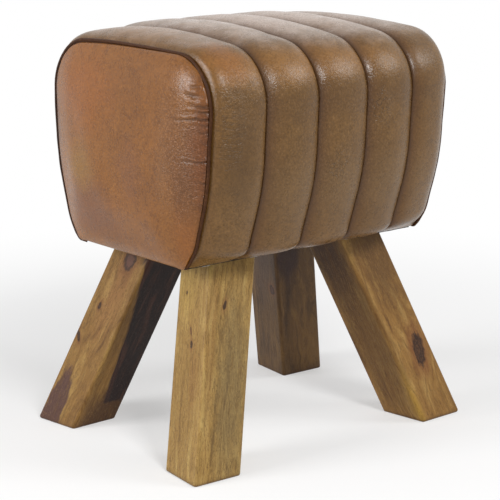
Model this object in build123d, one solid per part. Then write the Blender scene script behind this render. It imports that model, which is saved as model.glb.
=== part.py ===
from build123d import *
import os
from math import cos, radians, sin, tan

# A stool: four splayed square legs under a barrel-shaped seat in a channelled leather cover.
# Lengths are in millimetres and angles in degrees. The origin is on the floor at the middle
# of the four feet. +X runs along the seat, +Y to its back and +Z up.

# Base board
board_height = 225.0
board_width = 193.0
board_thickness = 18.0
board_edge_radius = 3.0
board_end_gap = 1.0

# Legs, placed by the outer corner of their top on the board's underside
leg_side = 60.0
leg_splay_x = 18.3
leg_splay_y = 17.1
leg_turn = 1.7
leg_inset_x = 43.0
leg_inset_y = 11.5
leg_edge_radius = 4.0
foot_edge_radius = 2.5

# Leather cover, measured to its outside: how far it hangs over the board's long edges and
# how high it rises above its own underside, at its ends and at its middle
seam_span = 338.8
channel_pitch = 70.5
end_overhang = 46.3
end_rise = 229.1
mid_overhang = 64.5
mid_rise = 245.0
channel_crown = 4.0
cap_crown = 18.0
leather_thickness = 1.4
hem_width = 10.0
hem_leg_gap = 0.6

# Piping at the two end seams
piping_diameter = 3.8
piping_skin = 0.8
piping_cord_fit = 0.1
piping_stand = 0.5

# Padding and foam
padding_depth = 8.3
soft_gap = 0.3
board_fit = 0.3
top_foam_depth = 31.0
side_foam_depth = 25.0

# Plywood carcass on the base board
carcass_setback_x = 3.5
carcass_setback_y = 6.5
end_panel_thickness = 15.0
end_panel_stand = 10.0
end_panel_radius = 20.0
side_board_thickness = 12.0
top_board_thickness = 12.0
rib_thickness = 12.0

# Leg fastening: inserts in the legs, bolts and washers from above, blocks under the washers
bolt_diameter = 8.0
bolt_spacing = 32.0
bolt_depth_in_leg = 28.0
bolt_head_across_flats = 13.0
bolt_head_height = 5.3
bolt_hole_fit = 0.25
washer_diameter = 24.0
washer_thickness = 2.0
insert_diameter = 12.0
insert_length = 20.0
insert_fit = 0.1
block_length = 84.0
block_height = 22.0

# Carcass screws
screw_diameter = 4.0
screw_length = 40.0
screw_head_diameter = 7.6
screw_head_height = 2.6
screw_tip_length = 4.0
screw_fit = 0.15

# Dust cover and staples
dust_cover_thickness = 0.8
dust_cover_setback = 2.5
dust_cover_leg_gap = 1.5
staple_crown = 10.0
staple_wire = 0.9
staple_leg = 8.0
staple_fit = 0.1

# Half outlines of the cover across the seat, as corners before they are rounded:
# shares of the overhang past the base corner, and of the rise above the cover's underside
end_corner_shares = ((0.37, 0.104), (0.82, 0.389), (1.06, 0.991), (None, 1.0))
mid_corner_shares = ((0.49, 0.045), (0.935, 0.377), (1.04, 0.932), (None, 1.022))
# Base, belly, waist, shoulder and apex: share of the shorter side that each rounding takes
round_shares = (0.12, 0.3, 0.4, 0.42, 0.5)
# The same corners: share of the channel's crown that each one gets
lift_shares = (0.0, 0.7, 1.0, 1.0, 1.0)
# How the seat narrows to its ends, and how each channel and cap is crowned
bulge_power = 4
channel_power = 2.5
cap_power = 3
channel_station_shares = (0.0, 0.2, 0.5, 0.8, 1.0)
foam_station_shares = (0.0, 0.2, 0.5, 0.8, 1.0)
cap_ring_shares = (1.0, 0.93, 0.8, 0.6, 0.35)
cap_centre_share = 0.5
tightest_radius = 0.5
overrun = 20.0

# Places worked out from the sizes above
cover_bottom = board_height - leather_thickness
board_top = board_height + board_thickness
seam_half = seam_span / 2
board_half_length = seam_half - board_end_gap
board_half_width = board_width / 2
base_half = board_half_width + board_fit + leather_thickness
end_half_width = board_half_width + end_overhang
mid_half_width = board_half_width + mid_overhang
hem_inner_half = board_half_width - hem_width
core_inset = leather_thickness + soft_gap + padding_depth
foam_inset = core_inset + soft_gap
channel_end = seam_half - piping_skin
cap_rim = seam_half + piping_skin + leather_thickness
carcass_half_length = board_half_length - carcass_setback_x
side_board_half_length = carcass_half_length - end_panel_thickness
carcass_top = cover_bottom + end_rise - foam_inset - top_foam_depth
side_board_top = carcass_top - top_board_thickness
carcass_bottom_half = board_half_width - carcass_setback_y
side_top_half = end_half_width - foam_inset - side_foam_depth
side_lean = (side_top_half - carcass_bottom_half) / (side_board_top - board_top)
seams = [-channel_end, -1.5 * channel_pitch, -channel_pitch / 2]
seams += [-x for x in reversed(seams)]


def neighbours(points):
    """Each point of a closed outline with the one before it and the one after it."""
    return zip(points[-1:] + points[:-1], points, points[1:] + points[:1])


def corner_at(share, half_width, rise):
    """One corner of a half outline from its shares; the apex lies on the middle line."""
    across, up = share
    y = 0 if across is None else base_half + across * (half_width - base_half)
    return Vector(y, cover_bottom + up * rise)


def sharp_corners(x):
    """Corners of the plain cover outline at station x, anticlockwise seen from +X."""
    bulge = 1 - min(abs(x) / seam_half, 1) ** bulge_power
    half = [Vector(base_half, cover_bottom)]
    for end_share, mid_share in zip(end_corner_shares, mid_corner_shares):
        end = corner_at(end_share, end_half_width, end_rise)
        mid = corner_at(mid_share, mid_half_width, mid_rise)
        half.append(end + (mid - end) * bulge)
    return half + [Vector(-corner.X, corner.Y) for corner in reversed(half[:-1])]


def corner_radii(corners):
    """Radius that takes each corner's share of the shorter side beside it."""
    shares = round_shares + tuple(reversed(round_shares[:-1]))
    radii = []
    for (before, corner, after), share in zip(neighbours(corners), shares):
        half_angle = radians((before - corner).get_angle(after - corner) / 2)
        shorter = min((before - corner).length, (after - corner).length)
        radii.append(share * shorter * tan(half_angle))
    return radii


def moved_corners(corners, insets):
    """Corners moved inward so that the sides beside them move by each corner's inset."""
    moved = []
    for (before, corner, after), inset in zip(neighbours(corners), insets):
        run_in = (corner - before).normalized()
        run_out = (after - corner).normalized()
        normals = Vector(-run_in.Y, run_in.X) + Vector(-run_out.Y, run_out.X)
        moved.append(corner + normals * (inset / (1 + run_in.dot(run_out))))
    return moved


def outline_corners(x, inset, lift=0.0, shrink=1.0):
    """Corners and radii at station x: crowned by lift, drawn in by shrink, then inset."""
    shares = lift_shares + tuple(reversed(lift_shares[:-1]))
    corners = sharp_corners(x)
    radii = [radius * shrink for radius in corner_radii(corners)]
    corners = moved_corners(corners, [-channel_crown * lift * share for share in shares])
    centre = Vector(0, cover_bottom + cap_centre_share * end_rise)
    corners = [centre + (corner - centre) * shrink for corner in corners]
    corners = moved_corners(corners, [inset] * len(corners))
    return corners, [max(radius - inset, tightest_radius) for radius in radii]


def rounded_arcs(corners, radii):
    """Start, middle and end of the arc that rounds each corner."""
    arcs = []
    for (before, corner, after), radius in zip(neighbours(corners), radii):
        back = (before - corner).normalized()
        onward = (after - corner).normalized()
        half_angle = radians(back.get_angle(onward) / 2)
        reach = radius / tan(half_angle)
        middle = corner + (back + onward).normalized() * (radius / sin(half_angle) - radius)
        arcs.append((corner + back * reach, middle, corner + onward * reach))
    return arcs


def section(x, inset, lift=0.0, shrink=1.0, place=None):
    """Face of the cover outline for station x, laid at place along X."""
    arcs = rounded_arcs(*outline_corners(x, inset, lift, shrink))
    edges = []
    for (start, middle, end), following in zip(arcs, arcs[1:] + arcs[:1]):
        edges.append(ThreePointArc(start, middle, end))
        edges.append(Line(end, following[0]))
    return Plane.YZ.offset(x if place is None else place) * make_face(edges)


def slab(x0, x1, y0, y1, z0, z1):
    """Box between two corners."""
    box = Box(x1 - x0, y1 - y0, z1 - z0, align=(Align.MIN, Align.MIN, Align.MIN))
    return Pos(x0, y0, z0) * box


def bar(points, x0, x1):
    """Prism along X from x0 to x1 over a closed polygon of (y, z) points."""
    return extrude(Plane.YZ.offset(x0) * make_face(Polyline(*points, close=True)), x1 - x0)


def ring_plate(x, outer_inset, inner_inset, x0, thickness):
    """Flat ring along the outline at station x, laid from x0 to x0 + thickness."""
    ring = section(x, outer_inset, place=x0) - section(x, inner_inset, place=x0)
    return extrude(ring, thickness)


def both_ways(shape, plane):
    """The shape and its mirror image."""
    return [shape, mirror(shape, about=plane)]


def four_ways(shape):
    """The shape at all four legs, for one made at +X and +Y."""
    return [twin for half in both_ways(shape, Plane.YZ) for twin in both_ways(half, Plane.XZ)]


# Space of the base board, and the same with room for the leather's inner parts
def board_space(fit):
    """Room that the base board takes, grown by fit on its sides and top."""
    reach = board_half_width + fit
    length = board_half_length + fit
    return slab(-length, length, -reach, reach, board_height, board_top + fit)


def floor_space():
    """Everything between the board's long edges, below its top."""
    reach = board_half_width + board_fit
    length = cap_rim + cap_crown
    return slab(-length, length, -reach, reach, cover_bottom - overrun, board_top + board_fit)


# Legs
leg_axis = Vector(-tan(radians(leg_splay_x)), -tan(radians(leg_splay_y)), 1).normalized()
leg_across = Vector(1, 0, 0) - leg_axis * leg_axis.X
leg_turned = Plane(origin=(0, 0, 0), x_dir=leg_across, z_dir=leg_axis).rotated((0, 0, -leg_turn))
leg_corner = Vector(
    board_half_length - leg_inset_x, board_half_width - leg_inset_y, board_height
)
leg_origin = leg_corner - (leg_turned.x_dir + leg_turned.y_dir) * (leg_side / 2)


def leg_centre(z):
    """Point of the leg's middle line at height z."""
    return leg_origin + leg_axis * ((z - leg_origin.Z) / leg_axis.Z)


def leg_stick(grow, radius, bottom, top):
    """Square timber along the leg's middle line, cut level at bottom and top."""
    side = leg_side + 2 * grow
    stick = Box(side, side, 2 * (board_height + leg_side))
    stick = fillet(stick.edges().filter_by(Axis.Z), radius)
    stick = Plane(origin=leg_origin, x_dir=leg_turned.x_dir, z_dir=leg_turned.z_dir) * stick
    reach = 2 * board_height + leg_corner.X
    return stick & slab(-reach, reach, -reach, reach, bottom, top)


bolt_centre = leg_centre(board_height - insert_length / 2)
bolt_places = [
    Vector(bolt_centre.X + side * bolt_spacing / 2, bolt_centre.Y, 0) for side in (-1, 1)
]


def upright(diameter, place, z0, z1):
    """Round bar standing at place from z0 to z1."""
    rod = Cylinder(diameter / 2, z1 - z0, align=(Align.CENTER, Align.CENTER, Align.MIN))
    return Pos(place.X, place.Y, z0) * rod


def make_leg():
    """The leg at +X and +Y, with its insert holes."""
    leg = leg_stick(0, leg_edge_radius, 0, board_height)
    leg = fillet(leg.edges().group_by(Axis.Z)[0], foot_edge_radius)
    for place in bolt_places:
        depth = bolt_depth_in_leg + washer_thickness
        hole = insert_diameter + 2 * insert_fit
        leg -= upright(hole, place, board_height - insert_length, board_height + overrun)
        leg -= bolt_hole(place, board_height - depth)
    return leg


def bolt_hole(place, bottom):
    """Clearance hole for a bolt, upward from bottom."""
    top = board_top + block_height + overrun
    return upright(bolt_diameter + 2 * bolt_hole_fit, place, bottom, top)


def make_insert(place):
    """Sleeve in the leg's top, bored for the bolt."""
    sleeve = upright(insert_diameter, place, board_height - insert_length, board_height)
    return sleeve - bolt_hole(place, board_height - insert_length - overrun)


def make_washer(place):
    """Wide washer on the mounting block."""
    seat = board_top + block_height
    washer = upright(washer_diameter, place, seat, seat + washer_thickness)
    return washer - bolt_hole(place, board_height)


def make_bolt(place):
    """Hexagon bolt from the washer down into the leg's insert."""
    seat = board_top + block_height + washer_thickness
    shank = upright(bolt_diameter, place, board_height - bolt_depth_in_leg, seat)
    head_radius = bolt_head_across_flats / 2 / cos(radians(30))
    head = extrude(RegularPolygon(head_radius, 6), bolt_head_height)
    return shank + Pos(place.X, place.Y, seat) * head


def make_block():
    """Hardwood block on the base board, against the side board's foot."""
    outer = carcass_bottom_half - side_board_thickness - soft_gap
    inner = 2 * bolt_centre.Y - outer
    x0 = bolt_centre.X - block_length / 2
    x1 = bolt_centre.X + block_length / 2
    block = slab(x0, x1, inner, outer, board_top, board_top + block_height)
    for place in bolt_places:
        block -= bolt_hole(place, board_height)
    return block


# Carcass screws: a point on the surface that the head sinks into, and the way it is driven
def screw_body(grow):
    """Countersunk screw or, grown, the hole it sits in; the head's top is at the origin."""
    head = Cone(
        screw_diameter / 2 + grow,
        screw_head_diameter / 2 + grow,
        screw_head_height,
        align=(Align.CENTER, Align.CENTER, Align.MAX),
    )
    shank_length = screw_length - screw_tip_length + grow
    shank = Cylinder(
        screw_diameter / 2 + grow, shank_length, align=(Align.CENTER, Align.CENTER, Align.MAX)
    )
    tip = Cone(
        screw_diameter / 8 + grow,
        screw_diameter / 2 + grow,
        screw_tip_length,
        align=(Align.CENTER, Align.CENTER, Align.MAX),
    )
    return head + shank + Pos(0, 0, -shank_length) * tip


def side_middle(z):
    """Middle of the side board's thickness at height z."""
    outer = carcass_bottom_half + side_lean * (z - board_top)
    return outer - side_board_thickness / 2


def screw_places():
    """Every screw as (point, direction that its head faces)."""
    places = []
    up_share = (0.16, 0.5, 0.86)
    along_share = (-0.86, -0.2, 0.2, 0.86)
    across_share = (-0.62, 0, 0.62)
    wall_height = side_board_top - board_top
    end_middle = carcass_half_length - end_panel_thickness / 2
    for share in along_share:
        x = share * side_board_half_length
        for side in (-1, 1):
            places.append((Vector(x, side * side_middle(board_top), board_height), (0, 0, -1)))
            places.append((Vector(x, side * side_middle(side_board_top), carcass_top), (0, 0, 1)))
    for share in across_share:
        y = share * carcass_bottom_half
        places.append((Vector(0, y, board_height), (0, 0, -1)))
        places.append((Vector(0, y, carcass_top), (0, 0, 1)))
        for end in (-1, 1):
            face = end * carcass_half_length
            middle = carcass_top - top_board_thickness / 2
            places.append((Vector(end * end_middle, y, board_height), (0, 0, -1)))
            places.append((Vector(face, y, middle), (end, 0, 0)))
    for share in up_share:
        z = board_top + share * wall_height
        for end in (-1, 1):
            for side in (-1, 1):
                place = Vector(end * carcass_half_length, side * side_middle(z), z)
                places.append((place, (end, 0, 0)))
    return places


def placed_screws(grow):
    """All screws, or all their holes."""
    body = screw_body(grow)
    return [Plane(origin=point, z_dir=facing) * body for point, facing in screw_places()]


# Staples under the board: hem staples through the leather, the rest through the dust cover
dust_cover_top = cover_bottom - staple_wire
dust_cover_bottom = dust_cover_top - dust_cover_thickness
staple_line_y = board_half_width - hem_width / 2
staple_line_x = board_half_length - hem_width / 2


def staple_body(grow, crown_bottom):
    """Staple with its crown along X under z = crown_bottom + wire; grown, its slots."""
    half = staple_crown / 2
    wire = staple_wire / 2
    top = crown_bottom + staple_wire
    body = slab(-half - grow, half + grow, -wire - grow, wire + grow, crown_bottom - grow, top)
    for side in (-1, 1):
        x = side * (half - wire)
        body += slab(
            x - wire - grow, x + wire + grow, -wire - grow, wire + grow, crown_bottom,
            crown_bottom + staple_leg + grow,
        )
    return body


def staple_places(along_offsets, across_shares):
    """Staples along the four edges: (x, y, turn), offset from each channel's middle."""
    places = []
    for left, right in zip(seams, seams[1:]):
        for offset in along_offsets:
            x = (left + right) / 2 + offset * channel_pitch
            places += [(x, -staple_line_y, 0), (x, staple_line_y, 0)]
    for share in across_shares:
        y = share * hem_inner_half
        places += [(-staple_line_x, y, 90), (staple_line_x, y, 90)]
    return places


def staples(body, along_offsets, across_shares):
    """One body at every place of its row."""
    places = staple_places(along_offsets, across_shares)
    return [Pos(x, y, 0) * Rot(0, 0, turn) * body for x, y, turn in places]


hem_staple_shares = ((-0.25, 0.25), (-0.75, -0.25, 0.25, 0.75))
dust_staple_shares = ((0.0,), (-0.5, 0.0, 0.5))
hem_crown_bottom = cover_bottom - staple_wire
dust_crown_bottom = dust_cover_bottom - staple_wire


def staple_slots(crown_bottom, shares):
    """Room for one row of staples."""
    return staples(staple_body(staple_fit, crown_bottom), *shares)


# Carcass pieces
def make_base_board():
    """Board that carries the seat, with eased lower edges."""
    board = board_space(0)
    board = fillet(board.edges().group_by(Axis.Z)[0], board_edge_radius)
    for place in bolt_places:
        for hole in four_ways(bolt_hole(place, board_height - overrun)):
            board -= hole
    board -= placed_screws(screw_fit)
    board -= staple_slots(hem_crown_bottom, hem_staple_shares)
    board -= staple_slots(dust_crown_bottom, dust_staple_shares)
    return board


def end_profile():
    """Corners of the end panel: flush with the side boards, standing above the top board."""
    top = carcass_top + end_panel_stand
    top_half = carcass_bottom_half + side_lean * (top - board_top)
    return [
        (-carcass_bottom_half, board_top), (carcass_bottom_half, board_top),
        (top_half, top), (-top_half, top),
    ]


def end_panel():
    """End panel at +X with rounded upper corners."""
    panel = bar(end_profile(), side_board_half_length, carcass_half_length)
    return fillet(panel.edges().filter_by(Axis.X).group_by(Axis.Z)[-1], end_panel_radius)


def make_end_panel():
    """End panel with its screw holes."""
    return end_panel() - placed_screws(screw_fit)


def make_side_board():
    """Leaning board at +Y between the end panels."""
    bottom, top = carcass_bottom_half, side_top_half
    points = [
        (bottom - side_board_thickness, board_top), (bottom, board_top),
        (top, side_board_top), (top - side_board_thickness, side_board_top),
    ]
    board = bar(points, -side_board_half_length, side_board_half_length)
    return board - placed_screws(screw_fit)


def make_top_board():
    """Board on the side boards and the rib, between the end panels."""
    half = side_board_half_length
    board = slab(-half, half, -side_top_half, side_top_half, side_board_top, carcass_top)
    return board - placed_screws(screw_fit)


def make_mid_rib():
    """Upright rib across the middle, between the side boards."""
    bottom = carcass_bottom_half - side_board_thickness
    top = side_top_half - side_board_thickness
    points = [
        (-bottom, board_top), (bottom, board_top), (top, side_board_top), (-top, side_board_top)
    ]
    return bar(points, -rib_thickness / 2, rib_thickness / 2) - placed_screws(screw_fit)


def carcass_space():
    """Everything that the closed carcass takes up, as one solid."""
    points = [
        (-carcass_bottom_half, board_top), (carcass_bottom_half, board_top),
        (side_top_half, side_board_top), (side_top_half, carcass_top),
        (-side_top_half, carcass_top), (-side_top_half, side_board_top),
    ]
    body = bar(points, -side_board_half_length, side_board_half_length)
    for panel in both_ways(end_panel(), Plane.YZ):
        body += panel
    return body


# Foam round the carcass
def foam_barrel():
    """Barrel of foam over the length of the carcass, before the carcass is cut out."""
    stations = [carcass_half_length * (2 * share - 1) for share in foam_station_shares]
    return loft([section(x, foam_inset) for x in stations])


def make_foam(barrel, solid_core):
    """Top slab, and the back slab of the two alike on the long sides."""
    reach = 2 * mid_half_width + overrun
    core = solid_core + board_space(0)
    top_half = slab(
        -reach, reach, -reach, reach, carcass_top, carcass_top + end_rise + mid_rise
    )
    back_half = slab(-reach, reach, 0, reach, cover_bottom, carcass_top)
    return (barrel & top_half) - core, (barrel & back_half) - core


def cap_loft(shift):
    """Pillow beyond the end seam at +X, moved inward along X by shift."""
    rings = []
    for share in cap_ring_shares:
        depth = cap_crown * (1 - share ** cap_power)
        rings.append(section(seam_half, 0, shrink=share, place=cap_rim + depth - shift))
    return loft(rings)


def make_end_foam():
    """Foam pillow in the cap at +X, with the pad that fills up to the end panel."""
    back = cap_rim + soft_gap
    length = back - carcass_half_length
    reach = 2 * mid_half_width + mid_rise
    pad = extrude(section(seam_half, foam_inset, place=carcass_half_length), length)
    pillow = cap_loft(leather_thickness + soft_gap)
    pillow &= slab(back, reach, -reach, reach, 0, 2 * reach)
    return pad + pillow - board_space(0)


# Cover pieces
def channel_stations(left, right, ends):
    """Places from the left to the right end of a channel, and the crown's lift at each."""
    first, last = left + ends, right - ends
    stations = [first + (last - first) * share for share in channel_station_shares]
    middle, half = (left + right) / 2, (right - left) / 2
    return [(x, 1 - (abs(x - middle) / half) ** channel_power) for x in stations]


def make_padding(left, right):
    """Crowned strip of wadding behind one channel, open over the base board."""
    stations = channel_stations(left, right, leather_thickness + soft_gap)
    outer = loft([section(x, leather_thickness + soft_gap, lift) for x, lift in stations])
    inner = loft([section(x, core_inset) for x, lift in stations])
    return outer - inner - floor_space()


def make_channel(left, right):
    """Leather of one channel with its seam allowances and the hem under the board."""
    stations = channel_stations(left, right, 0)
    cover = loft([section(x, 0, lift) for x, lift in stations])
    cover -= loft([section(x, leather_thickness, lift) for x, lift in stations])
    for x, x0 in ((left, left), (right, right - leather_thickness)):
        allowance = ring_plate(x, leather_thickness / 2, core_inset, x0, leather_thickness)
        cover += allowance - floor_space()
    cover -= slab(
        left - overrun, right + overrun, -hem_inner_half, hem_inner_half,
        cover_bottom - overrun, board_height + leather_thickness,
    )
    return cover - hem_leg_rooms - hem_slots(left, right)


def hem_slots(left, right):
    """Staple slots that fall within one stretch of the seat."""
    slots = staple_slots(hem_crown_bottom, hem_staple_shares)
    slots += staple_slots(dust_crown_bottom, dust_staple_shares)
    return [slot for slot in slots if left < slot.center().X < right]


def leg_clearances(gap):
    """Room round the four legs at the height of the hem and the dust cover."""
    bottom = dust_crown_bottom - overrun
    return four_ways(leg_stick(gap, leg_edge_radius + gap, bottom, board_height + overrun))


hem_leg_rooms = leg_clearances(hem_leg_gap)


def make_cap():
    """Leather pillow cap at +X with its seam allowance and the hem under the board."""
    allowance = ring_plate(seam_half, 0, core_inset, cap_rim - leather_thickness, leather_thickness)
    cap = cap_loft(0) - cap_loft(leather_thickness)
    cap += allowance - floor_space()
    reach = hem_inner_half - board_fit
    inner = board_half_length - hem_width
    cap += slab(inner, cap_rim, -reach, reach, cover_bottom, board_height)
    return cap - hem_slots(inner, cap_rim)


def piping_path():
    """Middle line of the piping at the +X seam, turned in under the hem at both ends."""
    rise = piping_diameter / 2 + piping_stand
    corners, radii = outline_corners(seam_half, -rise)
    arcs = rounded_arcs(corners, radii)
    level = corners[0].Y
    edges = [Line(Vector(hem_inner_half, level), arcs[0][0])]
    for (start, middle, end), following in zip(arcs, arcs[1:]):
        edges += [ThreePointArc(start, middle, end), Line(end, following[0])]
    edges += [ThreePointArc(*arcs[-1]), Line(arcs[-1][2], Vector(-hem_inner_half, level))]
    return Plane.YZ.offset(seam_half) * Wire(edges)


def round_bar(path, diameter):
    """Round bar along a path."""
    return sweep(Plane(origin=path @ 0, z_dir=path % 0) * Circle(diameter / 2), path=path)


def make_piping():
    """Piping at the +X seam: leather round its cord, and the tail sewn into the seam."""
    path = piping_path()
    bore = round_bar(path, piping_diameter - 2 * piping_skin)
    lap = piping_stand + piping_skin / 2
    tail = ring_plate(seam_half, -lap, core_inset, seam_half - piping_skin, 2 * piping_skin)
    welt = round_bar(path, piping_diameter) + (tail - floor_space())
    cord = round_bar(path, piping_diameter - 2 * piping_skin - 2 * piping_cord_fit)
    return welt - bore, cord


def make_dust_cover():
    """Thin cloth over the board's underside, cut out round the legs."""
    x = board_half_length - dust_cover_setback
    y = board_half_width - dust_cover_setback
    cloth = slab(-x, x, -y, y, dust_cover_bottom, dust_cover_top)
    cloth -= leg_clearances(dust_cover_leg_gap)
    return cloth - staple_slots(dust_crown_bottom, dust_staple_shares)


# All pieces by name
pieces = {}
pieces["base_board"] = make_base_board()
end_panels = both_ways(make_end_panel(), Plane.YZ)
pieces["end_panel_right"], pieces["end_panel_left"] = end_panels
side_boards = both_ways(make_side_board(), Plane.XZ)
pieces["side_board_back"], pieces["side_board_front"] = side_boards
pieces["top_board"] = make_top_board()
pieces["mid_rib"] = make_mid_rib()
pieces["carcass_screws"] = Compound(children=placed_screws(0))

leg = make_leg()
leg_names = ("leg_back_right", "leg_front_right", "leg_back_left", "leg_front_left")
for name, one in zip(leg_names, four_ways(leg)):
    pieces[name] = one
pieces["leg_mounting_blocks"] = Compound(children=four_ways(make_block()))
fasteners = {"leg_inserts": make_insert, "leg_bolt_washers": make_washer, "leg_bolts": make_bolt}
for name, make_one in fasteners.items():
    pieces[name] = Compound(
        children=[one for place in bolt_places for one in four_ways(make_one(place))]
    )

foam_top, foam_back = make_foam(foam_barrel(), carcass_space())
pieces["foam_top"] = foam_top
pieces["foam_back"], pieces["foam_front"] = both_ways(foam_back, Plane.XZ)
pieces["foam_end_right"], pieces["foam_end_left"] = both_ways(make_end_foam(), Plane.YZ)

channel_count = len(seams) - 1
for number in range(1, channel_count // 2 + 2):
    left, right = seams[number - 1 : number + 1]
    twin = channel_count + 1 - number
    for kind, make_one in (("channel_padding", make_padding), ("leather_channel", make_channel)):
        made = both_ways(make_one(left, right), Plane.YZ)
        pieces[f"{kind}_{twin}"] = made[1]
        pieces[f"{kind}_{number}"] = made[0]
pieces["leather_end_right"], pieces["leather_end_left"] = both_ways(make_cap(), Plane.YZ)
piping, piping_cord = make_piping()
pieces["piping_right"], pieces["piping_left"] = both_ways(piping, Plane.YZ)
pieces["piping_cord_right"], pieces["piping_cord_left"] = both_ways(piping_cord, Plane.YZ)

pieces["dust_cover"] = make_dust_cover()
pieces["hem_staples"] = Compound(
    children=staples(staple_body(0, hem_crown_bottom), *hem_staple_shares)
)
pieces["dust_cover_staples"] = Compound(
    children=staples(staple_body(0, dust_crown_bottom), *dust_staple_shares)
)

os.makedirs("parts", exist_ok=True)
for name, piece in pieces.items():
    export_step(piece, f"parts/{name}.step")
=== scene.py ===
from math import atan2, cos, radians, sin, sqrt, tan

import bmesh
import bpy
import numpy as np
from mathutils import Matrix, Vector, noise


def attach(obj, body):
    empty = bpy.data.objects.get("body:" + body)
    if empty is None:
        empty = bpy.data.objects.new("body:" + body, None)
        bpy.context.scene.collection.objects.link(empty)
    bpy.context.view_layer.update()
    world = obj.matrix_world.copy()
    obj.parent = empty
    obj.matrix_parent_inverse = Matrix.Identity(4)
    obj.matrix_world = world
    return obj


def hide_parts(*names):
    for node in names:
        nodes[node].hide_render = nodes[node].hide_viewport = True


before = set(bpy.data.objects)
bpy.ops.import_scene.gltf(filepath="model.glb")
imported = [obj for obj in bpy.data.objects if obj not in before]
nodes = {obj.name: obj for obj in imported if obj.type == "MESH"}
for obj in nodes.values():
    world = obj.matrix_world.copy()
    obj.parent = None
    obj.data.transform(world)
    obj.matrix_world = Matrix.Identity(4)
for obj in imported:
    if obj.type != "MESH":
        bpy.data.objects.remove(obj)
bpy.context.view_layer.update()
scene = bpy.context.scene

# Sizes in millimetres, as in the part's source; meshes are made in metres
mm = 0.001
board_height = 225.0
board_width = 193.0
board_thickness = 18.0
board_fit = 0.3
seam_span = 338.8
channel_pitch = 70.5
end_overhang = 46.3
end_rise = 229.1
mid_overhang = 64.5
mid_rise = 245.0
channel_crown = 4.0
cap_crown = 18.0
leather_thickness = 1.4
hem_width = 10.0
piping_diameter = 3.8
piping_skin = 0.8
piping_stand = 0.5
core_inset = 10.0
soft_gap = 0.3
leg_side = 60.0
leg_splay_x = 18.3
leg_splay_y = 17.1
leg_turn = 1.7
leg_corner = (125.4, 85.0)
end_corner_shares = ((0.37, 0.104), (0.82, 0.389), (1.06, 0.991), (None, 1.0))
mid_corner_shares = ((0.49, 0.045), (0.935, 0.377), (1.04, 0.932), (None, 1.022))
round_shares = (0.12, 0.3, 0.4, 0.42, 0.5, 0.42, 0.4, 0.3, 0.12)
lift_shares = np.array((0.0, 0.7, 1.0, 1.0, 1.0, 1.0, 1.0, 0.7, 0.0))
bulge_power = 4
channel_power = 2.5
tightest_radius = 0.5
arc_steps = 14

board_half = board_width / 2
cover_bottom = board_height - leather_thickness
board_top = board_height + board_thickness
seam_half = seam_span / 2
base_half = board_half + board_fit + leather_thickness
end_half = board_half + end_overhang
mid_half = board_half + mid_overhang
hem_inner = board_half - hem_width
bead = piping_diameter / 2
channel_end = seam_half - piping_skin
cap_rim = seam_half + piping_skin + leather_thickness
cap_centre = np.array((0, cover_bottom + end_rise / 2))
seams = [-channel_end, -1.5 * channel_pitch, -channel_pitch / 2]
seams += [-x for x in reversed(seams)]
panels = list(enumerate(zip(seams, seams[1:]), 1))
sides = ((-1, "left"), (1, "right"))


# Outline of the cover across the seat
def between(value, low, high):
    """Where a value lies from low to high, kept within 0 and 1."""
    return np.clip((value - low) / (high - low), 0, 1)


def unit(vectors):
    return vectors / np.linalg.norm(vectors, axis=-1, keepdims=True)


def sharp_corners(x):
    """Corners of the plain outline at station x, anticlockwise seen from +X."""
    bulge = 1 - min(abs(x) / seam_half, 1) ** bulge_power
    half = [np.array((base_half, cover_bottom))]
    for (end_across, end_up), (mid_across, mid_up) in zip(end_corner_shares, mid_corner_shares):
        end_y, mid_y = 0, 0
        if end_across is not None:
            end_y = base_half + end_across * (end_half - base_half)
            mid_y = base_half + mid_across * (mid_half - base_half)
        end = np.array((end_y, cover_bottom + end_up * end_rise))
        mid = np.array((mid_y, cover_bottom + mid_up * mid_rise))
        half.append(end + (mid - end) * bulge)
    return np.array(half + [corner * (-1, 1) for corner in reversed(half[:-1])])


def moved_corners(corners, insets):
    """Corners moved inward so that the sides beside them move by each corner's inset."""
    run_in = unit(corners - np.roll(corners, 1, axis=0))
    run_out = unit(np.roll(corners, -1, axis=0) - corners)
    inward = np.stack((-run_in[:, 1] - run_out[:, 1], run_in[:, 0] + run_out[:, 0]), axis=1)
    return corners + inward * (insets / (1 + (run_in * run_out).sum(axis=1)))[:, None]


def rounded(corners, radii):
    """The outline from the first corner's arc to the last one's, as a run of points."""
    points = []
    for index, (corner, radius) in enumerate(zip(corners, radii)):
        back = unit(corners[index - 1] - corner)
        onward = unit(corners[(index + 1) % len(corners)] - corner)
        half_angle = np.arccos(np.clip(back @ onward, -1, 1)) / 2
        centre = corner + unit(back + onward) * radius / sin(half_angle)
        start = corner + back * radius / tan(half_angle) - centre
        first = atan2(start[1], start[0])
        for angle in np.linspace(first, first + np.pi - 2 * half_angle, arc_steps + 1):
            points.append(centre + radius * np.array((cos(angle), sin(angle))))
    return np.array(points)


def outline(x, lift=0.0, insets=0.0):
    """Rounded outline at station x, crowned by lift and then inset."""
    plain = sharp_corners(x)
    back = np.roll(plain, 1, axis=0) - plain
    onward = np.roll(plain, -1, axis=0) - plain
    half_angles = np.arccos(np.clip((unit(back) * unit(onward)).sum(axis=1), -1, 1)) / 2
    shortest = np.minimum(np.linalg.norm(back, axis=1), np.linalg.norm(onward, axis=1))
    radii = np.array(round_shares) * shortest * np.tan(half_angles)
    corners = moved_corners(plain, -channel_crown * lift * lift_shares)
    insets = insets * np.ones(len(corners))
    return rounded(moved_corners(corners, insets), np.maximum(radii - insets, tightest_radius))


def resampled(points, count):
    """The same run with count points at even distances."""
    lengths = np.linalg.norm(np.diff(points, axis=0), axis=1)
    places = np.concatenate(((0,), np.cumsum(lengths)))
    wanted = np.linspace(0, places[-1], count)
    return np.stack([np.interp(wanted, places, column) for column in points.T], axis=1)


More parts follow.
